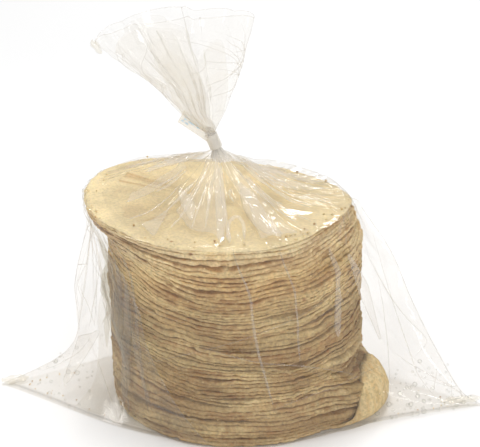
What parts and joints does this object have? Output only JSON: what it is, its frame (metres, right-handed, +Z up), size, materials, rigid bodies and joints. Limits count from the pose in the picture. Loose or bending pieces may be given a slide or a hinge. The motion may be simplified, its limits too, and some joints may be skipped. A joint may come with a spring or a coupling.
{
  "type": "bagged corn tortilla stack",
  "caption": "Tall stack of round corn tortillas in a clear film bag, with the bag's corners spread on the surface, its neck taped shut and its mouth fanned out above.",
  "frame": {"origin": "on the surface that the bag rests on, under the middle of the stack", "axes": "+Z up, +X from the bag's left ear to its right ear, -Y to the front"},
  "size_m": [0.288, 0.155, 0.2324],
  "materials": {
    "film": "clear thin film, crinkled",
    "tape": "clear tape, slightly yellow",
    "tortilla": "matt, mealy, pale yellow with toasted specks"
  },
  "bodies": {
    "root": {"bag": "film", "neck_tape": "tape"}
  },
  "joints": []
}
